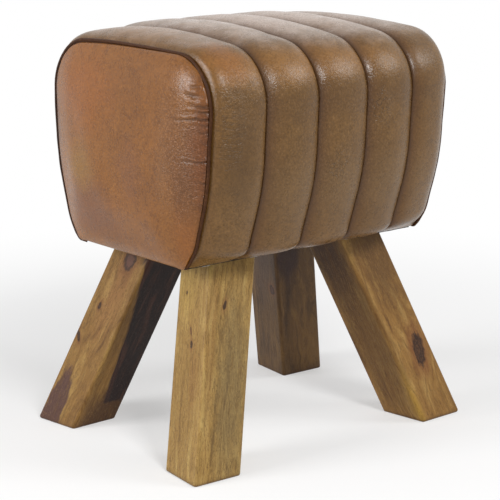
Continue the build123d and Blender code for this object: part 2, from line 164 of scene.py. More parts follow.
def hem_to_hem(points):
    """The outline with both ends led in under the board to the hem's inner edge."""
    first, last = points[0].copy(), points[-1].copy()
    first[0], last[0] = hem_inner, -hem_inner
    return np.concatenate((first[None], points, last[None]))


# Mesh helpers
def pick(piece=None):
    """Pick one piece only, or none."""
    bpy.ops.object.select_all(action="DESELECT")
    if piece:
        piece.select_set(True)
        bpy.context.view_layer.objects.active = piece


def apply_modifier(piece, kind, **settings):
    """Add a modifier with its settings and apply it."""
    pick(piece)
    modifier = piece.modifiers.new(kind.title(), kind)
    for name, value in settings.items():
        setattr(modifier, name, value)
    bpy.ops.object.modifier_apply(modifier=modifier.name)


def linked(name, data):
    """New object in the scene."""
    piece = bpy.data.objects.new(name, data)
    scene.collection.objects.link(piece)
    return piece


def new_piece(name, points, faces):
    """Mesh piece from points in millimetres and faces."""
    mesh = bpy.data.meshes.new(name)
    mesh.from_pydata((np.asarray(points) * mm).tolist(), [], [list(face) for face in faces])
    mesh.validate()
    return linked(name, mesh)


def grid_index(rows, columns):
    return np.arange(rows * columns).reshape(rows, columns)


def grid_faces(rows, columns, wrap=False):
    """Quads of a grid, with its second side wrapped round where asked."""
    index = grid_index(rows, columns)
    if wrap:
        index = np.column_stack((index, index[:, 0]))
    corners = (index[:-1, :-1], index[:-1, 1:], index[1:, 1:], index[1:, :-1])
    return np.stack(corners, axis=-1).reshape(-1, 4).tolist()


def rim(rows, columns):
    """Indices round the edge of a grid, in order."""
    index = grid_index(rows, columns)
    edges = (index[0], index[1:, -1], index[-1, -2::-1], index[-2:0:-1, 0])
    return np.concatenate(edges).tolist()


def reversed_faces(faces):
    return [face[::-1] for face in faces]


def positions(piece):
    """All vertex places of a piece as an array in millimetres."""
    flat = np.empty(len(piece.data.vertices) * 3)
    piece.data.vertices.foreach_get("co", flat)
    return flat.reshape(-1, 3) / mm


def set_positions(piece, points):
    piece.data.vertices.foreach_set("co", (points * mm).ravel())
    piece.data.update()


def smooth(piece, angle=50):
    """Shade a piece smooth except over its sharp edges."""
    pick(piece)
    bpy.ops.object.shade_smooth_by_angle(angle=radians(angle))


def stand_for(piece, node):
    """Shade smooth, ride on the only body and stand for a soft node, which is hidden."""
    smooth(piece)
    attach(piece, "root")
    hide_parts(node)


# Leather under pressure from its stuffing
sim_frames = 20
stuffing_pressure = 2
leather_stiffness = 4
ease_passes = 24


def eased(moves, shape, passes):
    """Moves of a grid's points evened out, with its edge left alone."""
    moves = moves.copy()
    grid = moves[: shape[0] * shape[1]].reshape(*shape, -1)
    for _ in range(passes):
        around = grid[:-2, 1:-1] + grid[2:, 1:-1] + grid[1:-1, :-2] + grid[1:-1, 2:]
        grid[1:-1, 1:-1] = (grid[1:-1, 1:-1] + around / 4) / 2
    return moves


def stuffed(piece, sewn, shape, slack, reach, passes=ease_passes):
    """Swell a sheet held at its sewn points; no point ends further off than reach."""
    before = positions(piece)
    group = piece.vertex_groups.new(name="sewn")
    group.add([int(index) for index in sewn], 1, "REPLACE")
    cloth = piece.modifiers.new("Cloth", "CLOTH")
    cloth.settings.vertex_group_mass = "sewn"
    cloth.settings.use_pressure = True
    cloth.settings.uniform_pressure_force = stuffing_pressure
    cloth.settings.shrink_min = -slack
    cloth.settings.bending_stiffness = leather_stiffness
    cloth.settings.effector_weights.gravity = 0
    cloth.collision_settings.use_collision = False
    cloth.point_cache.frame_end = sim_frames
    for number in range(1, sim_frames + 1):
        scene.frame_set(number)
    pick(piece)
    bpy.ops.object.modifier_apply(modifier="Cloth")
    scene.frame_set(1)
    piece.vertex_groups.clear()
    moved = positions(piece) - before
    length = np.linalg.norm(moved, axis=1, keepdims=True)
    limited = reach * np.tanh(length / reach) / np.maximum(length, 1e-9)
    set_positions(piece, before + eased(moved * limited, shape, passes))


def fullness(depth, most, rise, fall):
    """Swell that rises within a few millimetres of an edge and fades inward."""
    return most * (1 - np.exp(-depth / rise)) * np.exp(-((depth / fall) ** 2))


def finish_cover(piece, node):
    """Round off a leather piece's mesh and give it its thickness."""
    apply_modifier(piece, "SUBSURF", levels=1, render_levels=1)
    apply_modifier(piece, "SOLIDIFY", thickness=leather_thickness * mm, offset=-1)
    stand_for(piece, node)
    return piece


# Channels of the cover
seam_roll = 2.2
seam_tuck = 2.0
drop_shares = np.array((0.25, 1.0, 1.0, 1.0, 1.0, 1.0, 1.0, 1.0, 0.25))
seam_distances = (0.0, 0.25, 0.7, 1.3, 2.0, 3.0, 4.5, 6.5, 9.0, 12.0, 15.5, 19.0, 23.0, 27.0, 31.0)
around_count = 270
groove_depth = 2.1
groove_width = 4.2
end_fullness, end_full_rise, end_full_fall = 5.0, 1.2, 24.0
sewn_rows, sewn_columns = 4, 5
channel_slack, channel_reach = 0.01, 2.5


def groove(x):
    """How far the stuffing falls away towards the seams between the channels."""
    return groove_depth * np.exp(-min(abs(x - seam) for seam in seams[1:-1]) / groove_width)


def crown_lift(x, left, right):
    """Crown of a channel at station x, 1 in its middle and 0 at its seams."""
    return 1 - (abs(x - (left + right) / 2) / ((right - left) / 2)) ** channel_power


def stations(left, right, distances):
    """Stations of one channel with a value each, from pairs of a distance to a seam and a value."""
    near = [(distance, rest) for distance, rest in distances if distance < (right - left) / 2 - 1]
    rows = [(left + distance, rest) for distance, rest in near] + [((left + right) / 2, 0.0)]
    return rows + [(right - distance, rest) for distance, rest in reversed(near)]


def leather_channel(number, left, right):
    """One sewn channel of the cover, hem to hem; an end channel is fuller close to its piping."""
    drops = [(0.0, seam_roll + seam_tuck)]
    for distance in seam_distances:
        within = max(seam_roll - distance, 0)
        drops.append((distance, seam_roll - sqrt(seam_roll ** 2 - within ** 2)))
    grid = []
    for x, drop in stations(left, right, drops):
        past = max(channel_end - abs(x) - (bead - piping_skin), 0)
        swell = fullness(past, end_fullness, end_full_rise, end_full_fall) / channel_crown
        lift = crown_lift(x, left, right) + swell
        path = outline(x, lift, (drop + groove(x)) * drop_shares)
        path = resampled(hem_to_hem(path), around_count)
        grid.append(np.column_stack((np.full(around_count, x), path)))
    shape = len(grid), around_count
    points = np.array(grid).reshape(-1, 3)
    piece = new_piece(f"cover_channel_{number}", points, grid_faces(*shape))
    inner = grid_index(*shape)[sewn_rows:-sewn_rows, sewn_columns:-sewn_columns]
    sewn = np.setdiff1d(grid_index(*shape), inner)
    stuffed(piece, sewn, shape, channel_slack, channel_reach)
    return finish_cover(piece, f"leather_channel_{number}")


channels = [leather_channel(number, *ends) for number, ends in panels]

# Caps of the cover: how full they are at the front and where, and how they are drawn in
cap_across = 88
cap_up = 72
outline_count = 2400
cap_tuck = 4.0
cap_fullness, cap_full_rise, cap_full_fall = 4.0, 2.5, 34.0
cap_powers = (4.5, 2.8)
cap_pull = 1.5
cap_fade = 35.0
cap_slack, cap_reach = 0.006, 2.0
cap_ease_passes = 60
cap_full_from, cap_full_to = 30.0, -70.0
cap_full_low, cap_full_high = 245.0, 330.0
cap_hem_inner = 158.4
cap_hem_half = hem_inner - board_fit
tuck_below_board = 0.1


def cap_grid():
    """Flat grid inside the end outline, without a pole, and that outline, as (y, z) points."""
    middle = np.array(((0, cover_bottom),))
    closed = np.concatenate((middle, outline(seam_half), middle))
    # Corners of the grid, on the rounded corners of the outline
    targets = [(base_half, cover_bottom), (end_half, cover_bottom + end_rise)]
    targets += [(-y, z) for y, z in reversed(targets)]
    dense = resampled(closed, outline_count)[:-1]
    marks = [int(np.argmin(np.linalg.norm(dense - target, axis=1))) for target in targets]
    low_right, high_right, high_left, low_left = marks
    right = resampled(dense[low_right : high_right + 1], cap_up)
    top = resampled(dense[high_right : high_left + 1], cap_across)[::-1]
    left = resampled(dense[high_left : low_left + 1], cap_up)[::-1]
    bottom = resampled(np.concatenate((dense[low_left:], dense[: low_right + 1])), cap_across)
    u = np.linspace(0, 1, cap_across)[:, None, None]
    v = np.linspace(0, 1, cap_up)[None, :, None]
    grid = (1 - v) * bottom[:, None] + v * top[:, None]
    grid += (1 - u) * left[None] + u * right[None]
    for share, place in ((1 - u, 0), (u, -1)):
        grid -= share * ((1 - v) * bottom[place] + v * top[place])
    return grid, dense


def cap_shares(flat, dense):
    """How far each flat point lies from the cap's centre, as a share of the outline there."""
    edge, away = dense - cap_centre, flat - cap_centre
    angles = np.arctan2(edge[:, 1], edge[:, 0])
    order = np.argsort(angles)
    lengths = np.linalg.norm(edge, axis=1)[order]
    ways = np.arctan2(away[..., 1], away[..., 0])
    reach = np.interp(ways, angles[order], lengths, period=2 * np.pi)
    return np.clip(np.linalg.norm(away, axis=-1) / reach, 0, 1)


def tucked(edge):
    """Edge points of the cap turned in behind it, or under the board as a hem."""
    tuck = edge.copy()
    tuck[:, 1:] -= unit(tuck[:, 1:] - cap_centre) * cap_tuck
    under = edge[:, 2] < board_height
    tuck[under, 2] = np.minimum(tuck[under, 2], board_height - tuck_below_board)
    tuck[:, 0] = cap_rim - leather_thickness / 2
    hem = under & (abs(edge[:, 1]) < cap_hem_half)
    tuck[hem] = edge[hem]
    tuck[hem, 0] = cap_hem_inner
    return tuck


def leather_cap(side, word):
    """Stuffed end cap of the cover; side is -1 or 1 along X."""
    flat, dense = cap_grid()
    shape = flat.shape[:2]
    share = cap_shares(flat, dense)
    depth = (1 - share) * end_rise / 2
    across, up = flat[..., 0], flat[..., 1]
    front = between(across, cap_full_from, cap_full_to) * between(up, cap_full_low, cap_full_high)
    back = between(across, -end_half, end_half)
    power = cap_powers[0] + (cap_powers[1] - cap_powers[0]) * back
    crown = cap_crown * (1 - share ** power)
    crown += front * fullness(depth, cap_fullness, cap_full_rise, cap_full_fall)
    crown = eased(crown.reshape(-1, 1), shape, cap_ease_passes)
    flat[..., 0] -= cap_pull * between(across, 0, end_half) ** 3
    points = np.column_stack((cap_rim + crown, flat.reshape(-1, 2)))
    edge, count = rim(*shape), len(points)
    faces = reversed_faces(grid_faces(*shape))
    for index, (here, after) in enumerate(zip(edge, edge[1:] + edge[:1])):
        faces.append([here, after, count + (index + 1) % len(edge), count + index])
    points = np.concatenate((points, tucked(points[edge])))
    points[:, 0] *= side
    if side > 0:
        faces = reversed_faces(faces)
    piece = new_piece(f"cover_cap_{word}", points, faces)
    sewn = edge + list(range(count, count + len(edge)))
    stuffed(piece, sewn, shape, cap_slack, cap_reach, cap_ease_passes)
    swollen = positions(piece)
    fade = between(depth.reshape(-1, 1), 0, cap_fade)
    fade = fade ** 2 * (3 - 2 * fade)
    swollen[:count] = points[:count] + (swollen[:count] - points[:count]) * fade
    set_positions(piece, swollen)
    return finish_cover(piece, f"leather_end_{word}")


caps = [leather_cap(side, word) for side, word in sides]

# Wadding behind the channels
wadding_distances = [(distance, 0.0) for distance in (2.0, 3.5, 6.0, 10.0, 15.0, 20.0, 26.0, 32.0)]
wadding_count = 150
wadding_bottom = board_top + 1.5


def wadding(number, left, right):
    """Crowned strip of wadding behind one channel, above the base board."""
    skins = []
    for crowned in (True, False):
        for x, _ in stations(left, right, wadding_distances):
            lift = crown_lift(x, left, right) if crowned else 0
            inset = leather_thickness + 2 * soft_gap + groove(x) if crowned else core_inset
            path = outline(x, lift, inset)
            path = resampled(path[path[:, 1] > wadding_bottom], wadding_count)
            skins.append(np.column_stack((np.full(wadding_count, x), path)))
    rows, columns = len(skins) // 2, wadding_count
    count = rows * columns
    faces = grid_faces(rows, columns)
    faces += reversed_faces([[count + index for index in face] for face in faces])
    edge = rim(rows, columns)
    for here, after in zip(edge, edge[1:] + edge[:1]):
        faces.append([after, here, count + here, count + after])
    piece = new_piece(f"wadding_{number}", np.array(skins).reshape(-1, 3), faces)
    stand_for(piece, f"channel_padding_{number}")
    return piece


waddings = [wadding(number, *ends) for number, ends in panels]

# Foam round the box, softened from its cut form
foam_voxel = 5.0


def foam_piece(node):
    """Cut foam with eased edges, from the form of its node."""
    piece = linked(f"{node}_cut", nodes[node].data.copy())
    form = bmesh.new()
    form.from_mesh(piece.data)
    bmesh.ops.remove_doubles(form, verts=form.verts, dist=0.01 * mm)
    form.to_mesh(piece.data)
    form.free()
    apply_modifier(piece, "REMESH", mode="VOXEL", voxel_size=foam_voxel * mm)
    apply_modifier(piece, "SMOOTH", factor=0.5, iterations=3)
    stand_for(piece, node)
    return piece


foam_nodes = ("foam_top", "foam_front", "foam_back", "foam_end_left", "foam_end_right")
foams = [foam_piece(node) for node in foam_nodes]

# Piping in the end seams: a bead with a sewn tail, uneven from sewing, and the cord in it.
# Sinks are how far it lies in at the front and at the back; it is pressed flat under the hem.
bead_steps = 16
bead_opening = 0.36
piping_sinks = (1.0, -0.9)
piping_lean = 1.0
piping_flat_from = 26.0
piping_flat_gain = 1.6
piping_flat_radius = 0.5
piping_flat_rise = 1.5
tail_half = piping_skin
tail_start = 0.3
tail_depth = 8.0
tail_grows_over = 15.0
piping_count = 520
piping_length = 830.0
wave_pace = 0.045
wave_radius, wave_across, wave_out = 0.05, 0.35, 0.25
strand_pitch = 14.0
strand_sides = 6
strand_circle = 0.5
strand_radius = 0.47
strand_step = 1.5


def line_frames(line):
    """Outward way at each point of a line that runs anticlockwise seen from +X."""
    along = unit(np.gradient(line, axis=0))
    return np.stack((along[:, 1], -along[:, 0]), axis=1)


def end_share(count):
    """1 at the ends of the piping under the board, 0 where it leaves the board's edge."""
    places = np.linspace(0, 1, count)
    length = np.minimum(places, 1 - places) * piping_length
    return np.clip(piping_flat_gain * (1 - length / piping_flat_from), 0, 1)


def piping_line():
    """Middle line of the piping as (y, z) points, turned in under the hem at both ends."""
    line = resampled(hem_to_hem(outline(seam_half, 0, -bead - piping_stand)), piping_count)
    front = between(line[:, :1], end_half / 2, -end_half / 2)
    sink = piping_sinks[1] + (piping_sinks[0] - piping_sinks[1]) * front
    return line - line_frames(line) * (sink + piping_flat_rise * end_share(piping_count)[:, None])


def piping_x(across, y):
    """Place along X of a point of the piping, which leans over the cap at the back only."""
    return seam_half + across + piping_lean * between(y, 0, end_half)


def piping(side, name):
    """Leather piping with its sewn tail."""
    line = piping_line()
    radii = bead * (1 - piping_flat_radius * end_share(piping_count))
    angles = np.linspace(-np.pi / 2 + bead_opening, 1.5 * np.pi - bead_opening, bead_steps)
    points = []
    for (y, z), (out_y, out_z), radius in zip(line, line_frames(line), radii):
        place = Vector((side * 3.1, y * wave_pace, z * wave_pace))
        radius *= 1 + wave_radius * noise.noise(place * 1.7)
        shift_x = wave_across * noise.noise(place)
        shift_out = wave_out * noise.noise(place + Vector((7, 0, 0)))
        above_board = between(z, board_top, board_top + tail_grows_over)
        depth = radius + tail_start + tail_depth * above_board
        profile = [(radius * cos(angle), radius * sin(angle)) for angle in angles]
        for across, out in profile + [(-tail_half, -depth), (tail_half, -depth)]:
            out += shift_out
            x = piping_x(across + shift_x, y)
            points.append((side * x, y + out_y * out, z + out_z * out))
    columns = bead_steps + 2
    faces = grid_faces(piping_count, columns, wrap=True)
    faces.append(list(range(columns))[::-1])
    faces.append(list(range(len(points) - columns, len(points))))
    if side > 0:
        faces = reversed_faces(faces)
    piece = new_piece(name, points, faces)
    pick(piece)
    bpy.ops.object.mode_set(mode="EDIT")
    bpy.ops.mesh.select_all(action="SELECT")
    bpy.ops.mesh.normals_make_consistent(inside=False)
    bpy.ops.object.mode_set(mode="OBJECT")
    return piece


def piping_cord(side, name):
    """Cotton cord of three laid strands in the piping."""
    dense = piping_line()
    count = int(np.linalg.norm(np.diff(dense, axis=0), axis=1).sum() / strand_step)
    line = resampled(dense, count)
    outward = line_frames(line)
    flat = 1 - piping_flat_radius * end_share(count)
    points, faces = [], []
    for strand in range(3):
        base = len(points)
        for index in range(count):
            lay = 2 * np.pi * (index * strand_step / strand_pitch + strand / 3)
            for corner in range(strand_sides):
                angle = 2 * np.pi * corner / strand_sides
                across = (strand_circle * cos(lay) + strand_radius * cos(angle)) * flat[index]
                out = (strand_circle * sin(lay) + strand_radius * sin(angle)) * flat[index]
                y, z = line[index] + outward[index] * out
                points.append((side * piping_x(across, line[index][0]), y, z))
        loops = grid_faces(count, strand_sides, wrap=True)
        faces += [[base + place for place in face] for face in loops]
        faces.append(list(range(base + strand_sides - 1, base - 1, -1)))
        faces.append(list(range(len(points) - strand_sides, len(points))))
    if side < 0:
        faces = reversed_faces(faces)
    return new_piece(name, points, faces)


pipings, piping_cords = [], []
for side, word in sides:
    pipings.append(piping(side, f"welt_{word}"))
    stand_for(pipings[-1], f"piping_{word}")
    piping_cords.append(piping_cord(side, f"welt_cord_{word}"))
    stand_for(piping_cords[-1], f"piping_cord_{word}")

# The stuffing has settled a little at the seat's back left corner
settle_centre = (-172.0, 128.0, 440.0)
settle_size = (76.0, 66.0, 66.0)
settle_move = np.array((0.0, -4.2, -4.2))
for piece in channels + caps + waddings + foams + pipings + piping_cords:
    points = positions(piece)
    away = (points - settle_centre) / settle_size
    share = np.exp(-(away ** 2).sum(axis=1, keepdims=True))
    set_positions(piece, points + share * settle_move)

# Legs: the way each one stands, for its grain and for the cloth cut round it
leg_ways = {
    "leg_back_right": (1, 1), "leg_front_right": (1, -1),
    "leg_back_left": (-1, 1), "leg_front_left": (-1, -1),
}


def leg_frame(side_x, side_y):
    """Turned frame of a leg, with its origin on the leg's middle line at the floor, in metres."""
    axis = Vector((-side_x * tan(radians(leg_splay_x)), -side_y * tan(radians(leg_splay_y)), 1))
    axis.normalize()
    across = (Vector((1, 0, 0)) - axis * axis.x).normalized()
    across = Matrix.Rotation(radians(-leg_turn) * side_x * side_y, 3, axis) @ across
    other = axis.cross(across)
    corner = Vector((side_x * leg_corner[0], side_y * leg_corner[1], board_height))
    middle = corner - (across * side_x + other * side_y) * leg_side / 2
    foot = middle - axis * (middle.z / axis.z)
    turned = Matrix((across, other, axis)).transposed().to_4x4()
    return Matrix.Translation(foot * mm) @ turned


# Dust cover: cloth stretched under the board, with a shallow sag, cut round the legs
cloth_width = 2 * 94.0
cloth_length = 2 * 165.9
cloth_thickness = 0.8
cloth_low = 221.9
cloth_sag = 0.5
cloth_leg_gap = 1.5
pick()
bpy.ops.mesh.primitive_grid_add(x_subdivisions=66, y_subdivisions=38, size=1)
underside_cloth = bpy.context.object
underside_cloth.name = underside_cloth.data.name = "underside_cloth"
points = positions(underside_cloth) * mm * (cloth_length, cloth_width, 1)
shares = 2 * points[:, :2] / (cloth_length, cloth_width)
points[:, 2] = cloth_low + cloth_thickness - cloth_sag * (1 - shares ** 2).prod(axis=1)
set_positions(underside_cloth, points)
apply_modifier(underside_cloth, "SOLIDIFY", thickness=cloth_thickness * mm, offset=-1)
for way in leg_ways.values():
    pick()
    bpy.ops.mesh.primitive_cube_add(size=(leg_side + 2 * cloth_leg_gap) * mm)
    cutter = bpy.context.object
    place = leg_frame(*way)
    along = place.col[2].to_3d() * (cloth_low * mm / place.col[2][2])
    cutter.matrix_world = Matrix.Translation(along) @ place
    apply_modifier(
        underside_cloth, "BOOLEAN", operation="DIFFERENCE", solver="EXACT", object=cutter
    )
    bpy.data.objects.remove(cutter)
stand_for(underside_cloth, "dust_cover")


# Nodes
def calculation(operation, swapped=False):
    """Operator of Value that adds a maths node."""
    return lambda one, other: one.graph.math(operation, *((other, one) if swapped else (one, other)))


class Value:
    """What a socket gives, ready for sums and products."""

    __add__ = __radd__ = calculation("ADD")
    __sub__ = calculation("SUBTRACT")
    __rsub__ = calculation("SUBTRACT", swapped=True)
    __mul__ = calculation("MULTIPLY")
    __truediv__ = calculation("DIVIDE")

    def __init__(self, graph, socket):
        self.graph = graph
        self.socket = socket

    def __abs__(self):
        return self.graph.math("ABSOLUTE", self)


def paint(colour):
    """Shader colour from a colour as seen on a screen, 0 to 255; a socket's colour stays."""
    if isinstance(colour, Value):
        return colour
    shares = [value / 255 for value in colour]
    return tuple(s / 12.92 if s <= 0.04045 else ((s + 0.055) / 1.055) ** 2.4 for s in shares) + (1,)


class Graph:
    """Short ways to add nodes to one tree and to join them."""

    def __init__(self, tree):
        self.tree = tree

    def add(self, kind, **settings):
        node = self.tree.nodes.new(f"ShaderNode{kind}")
        for name, value in settings.items():
            setattr(node, name, value)
        return node

    def fed(self, node, values=(), output=0):
        """Feed a node's inputs, by name or in order, and give one of its outputs if it has any."""
        named = values if isinstance(values, dict) else dict(enumerate(values))
        for key, value in named.items():
            if isinstance(value, Value):
                self.tree.links.new(value.socket, node.inputs[key])
            else:
                node.inputs[key].default_value = value
        return Value(self, node.outputs[output]) if node.outputs else None

    def source(self, kind, output):
        """What a node without inputs gives."""
        return self.fed(self.add(kind), (), output)

    def math(self, operation, *values):
        """Maths on values, or on vectors where one of them is a vector."""
        vectors = any(isinstance(v, Value) and v.socket.type == "VECTOR" for v in values)
        node = self.add("VectorMath" if vectors else "Math", operation=operation)
        return self.fed(node, values, "Value" if operation in ("LENGTH", "DOT_PRODUCT") else 0)

    def mix(self, share, first, second):
        """Colours mixed by a share."""
        node = self.add("Mix", data_type="RGBA")
        return self.fed(node, {0: share, 6: paint(first), 7: paint(second)}, 2)

    def noise(self, vector, scale, detail=2.0, roughness=0.5, distortion=0.0):
        values = dict(
            Vector=vector, Scale=scale, Detail=detail, Roughness=roughness, Distortion=distortion
        )
        return self.fed(self.add("TexNoise"), values, "Fac")

    def cells(self, vector, scale, feature, **values):
        node = self.add("TexVoronoi", feature=feature)
        return self.fed(node, dict(Vector=vector, Scale=scale, **values), "Distance")

    def step(self, value, low, high, bottom=0.0, top=1.0):
        """Smooth step of a value from low to high."""
        node = self.add("MapRange", interpolation_type="SMOOTHSTEP")
        return self.fed(node, (value, low, high, bottom, top))

    def split(self, vector):
        node = self.add("SeparateXYZ")
        self.fed(node, (vector,))
        return [Value(self, socket) for socket in node.outputs]

    def join(self, *values):
        return self.fed(self.add("CombineXYZ"), values)

    def local(self, place, centre, turn, size):
        """Place measured from a centre, in a turned frame and in shares of a size."""
        return self.fed(self.add("Mapping", vector_type="TEXTURE"), (place, centre, turn, size))

    def shaders(self, share, first, second):
        """Shaders mixed by a share."""
        return self.fed(self.add("MixShader"), (share, first, second))

    def place(self, group, **values):
        """A group in this tree; gives its outputs by name."""
        node = self.add("Group", node_tree=group)
        self.fed(node, values)
        return {socket.name: Value(self, socket) for socket in node.outputs}

    def millimetres(self):
        """Place on the object in millimetres."""
        return self.source("TexCoord", "Object") * (1000, 1000, 1000)


def new_material(name, **plain):
    """Material with its graph and its shader, with plain values set on the shader."""
    material = bpy.data.materials.new(name)
    material.use_nodes = True
    shader = material.node_tree.nodes["Principled BSDF"]
    for label, value in plain.items():
        shader.inputs[label.replace("_", " ")].default_value = value
    return material, Graph(material.node_tree), shader


def surface(graph, shader, colour, rough, height, relief):
    """Give a shader its colour, its roughness and a relief in millimetres."""
    normal = graph.fed(graph.add("Bump"), {"Height": height, "Distance": relief * mm})
    graph.fed(shader, {"Base Color": colour, "Roughness": rough, "Normal": normal})


def finish_with(material, *pieces):
    """Give pieces one material."""
    for piece in pieces:
        piece.data.materials.clear()
        piece.data.materials.append(material)


def group(**inputs):
    """Make a node group of the function below, which gives the group's outputs by name."""

    def made(look):
        tree = bpy.data.node_groups.new(look.__name__.replace("_", " "), "ShaderNodeTree")
        for name, kind in inputs.items():
            tree.interface.new_socket(name, in_out="INPUT", socket_type=f"NodeSocket{kind}")
        graph = Graph(tree)
        sockets = tree.nodes.new("NodeGroupInput").outputs
        outputs = look(graph, **{name: Value(graph, sockets[name]) for name in inputs})
        for name in outputs:
            tree.interface.new_socket(name, in_out="OUTPUT", socket_type="NodeSocketFloat")
        sink = tree.nodes.new("NodeGroupOutput")
        for name, value in outputs.items():
            tree.links.new(value.socket, sink.inputs[name])
        return tree

    return made


# Effects that several materials use
def wandering(graph, vector, scales, far):
    """A place shifted to and fro by noise."""
    return vector + graph.join(*(graph.noise(vector, scale) for scale in scales)) * (far, far, far)


def area_round(graph, place, centre, size, inner):
    """1 near a centre, fading to 0 at a size away."""
    return graph.step(graph.math("LENGTH", (place - centre) / size), inner, 1.0, 1.0, 0.0)


@group(place="Vector", pebble="Float", net="Float")
def hide_grain(graph, place, pebble, net):
    """Pebbled leather grain with a net of fine creases, as a height in millimetres."""
    warped = wandering(graph, place, (0.35, 0.4, 0.45), 2.5)
    pebbles = graph.cells(warped, pebble, "SMOOTH_F1", Smoothness=0.35)
    fine = graph.noise(place, 0.7, 3, 0.6)
    creases = graph.step(abs(graph.noise(warped, 0.16, 5, 0.62) - 0.5), 0.0, 0.04)
    height = pebbles * -0.1 + fine * 0.15 + creases * net
    return {"height": height, "pits": graph.step(pebbles, 0.35, 0.75)}


@group(run="Vector", place="Vector", centre="Vector", size="Vector")
def pull_creases(graph, run, place, centre, size):
    """Creases where leather is drawn to its seam; run is a place squeezed along the creases. Its
    dark output is painted shade along the crease lines.
    """
    area = area_round(graph, place, centre, size, 0.35)
    valley = graph.step(abs(graph.noise(run, 1.0, 2, 0.5, 0.4) - 0.5), 0.0, 0.05)
    waves = graph.noise(run, 2.3, 2, 0.6)
    return {"height": (waves * 0.8 + valley * 0.7) * area, "dark": (1.0 - valley) * area}


@group(run="Vector", place="Vector", centre="Vector", size="Vector")
def crackle(graph, run, place, centre, size):
    """Net of small folds in part of a leather panel, as a height in millimetres, with painted shade
    along the fold lines as its dark output.
    """
    area = area_round(graph, place, centre, size, 0.3)
    edges = graph.cells(wandering(graph, run, (0.9, 1.0, 1.1), 1.6), 1.0, "DISTANCE_TO_EDGE")
    sunk_shade = graph.step(edges, 0.0, 0.16, 1.0, 0.0)
    return {"height": graph.step(edges, 0.0, 0.5) * area, "dark": sunk_shade * area}


@group(place="Vector", wobble="Float")
def fold(graph, place, wobble):
    """One soft fold; place is measured from its middle, with Y along it and Z across it. Its dark
    output is painted shade in the fold's valley.
    """
    _, along, across = graph.split(place)
    strength = graph.step(abs(along), 0.1, 1.0, 1.0, 0.0)
    across = across + wobble
    beside = across - 2.0
    valley = graph.math("EXPONENT", across * across * -1.0)
    lip = graph.math("EXPONENT", beside * beside * -0.6)
    return {"height": (lip * 0.7 - valley) * strength, "dark": valley * strength}


@group(
    place="Vector", centre="Vector", size="Vector", rough_place="Vector", ragged="Float",
    inner="Float",
)
def patch(graph, place, centre, size, rough_place, ragged, inner):
    """Ragged patch round a centre, as a mask from 0 to 1."""
    rough = graph.noise(rough_place, 1.0, 4, 0.6) - 0.5
    distance = rough * ragged + graph.math("LENGTH", (place - centre) / size)
    return {"mask": graph.step(distance, inner, 1.1, 1.0, 0.0)}


@group(place="Vector", rough_place="Vector")
def knot(graph, place, rough_place):
    """Knot on a sawn face; place is measured from its middle in shares of its size."""
    away = graph.math("LENGTH", place)
    distance = (graph.noise(rough_place, 1.0, 4, 0.65) - 0.5) * 1.3 + away
    rings = graph.math("SINE", distance * 17.0)
    core = graph.step(distance, 0.75, 1.0, 1.0, 0.0) * graph.step(rings, -1.6, 1.0, 0.65, 1.0)
    rim_share = graph.step(distance, 0.55, 0.85) * graph.step(distance, 0.95, 1.25, 1.0, 0.0)
    stain = graph.step(distance, 0.9, 2.6, 1.0, 0.0)
    spread = graph.math("EXPONENT", away * -0.5)
    return {"core": core, "rim": rim_share, "stain": stain, "spread": spread}


@group(place="Vector", heart="Vector", bend="Float", ring="Float")
def timber_grain(graph, place, heart, bend, ring):
    """Grain of a square-cut hardwood along Z."""
    slow = place * (0.035, 0.035, 0.012)
    wander = graph.join(graph.noise(slow, 1.0, 2), graph.noise(slow, 1.3, 2), 0.0)
    place = place + wander * (16, 16, 0)
    rings = (graph.math("LENGTH", (place - heart) * (1, 1, 0.09)) + bend) / ring
    banded = graph.noise(graph.join(rings, graph.split(place)[2] * 0.006, 0.0), 0.9, 4, 0.65)
    broken = graph.noise(place * (0.1, 0.1, 0.02), 1.0, 3)
    lines = graph.step(graph.math("SINE", rings * 6.283), 0.2, 1.0) * graph.step(broken, 0.4, 0.62)
    streaks = graph.noise(place * (0.09, 0.09, 0.016), 1.0, 6, 0.6)
    curl = graph.noise(place * (0.05, 0.05, 0.12), 1.0, 2)
    flecked = place * (0.85, 0.85, 0.14) + graph.join(0.0, 0.0, curl * 6.0)
    flecks = graph.noise(flecked, 1.0, 4, 0.72)
    pores = graph.step(graph.noise(place * (1.7, 1.7, 0.2), 1.0, 1), 0.6, 0.72)
    return {
        "tone": banded * 0.5 + streaks * 0.6 - 0.05, "lines": lines, "flecks": flecks,
        "pores": pores, "height": flecks * 1.2 - pores,
    }


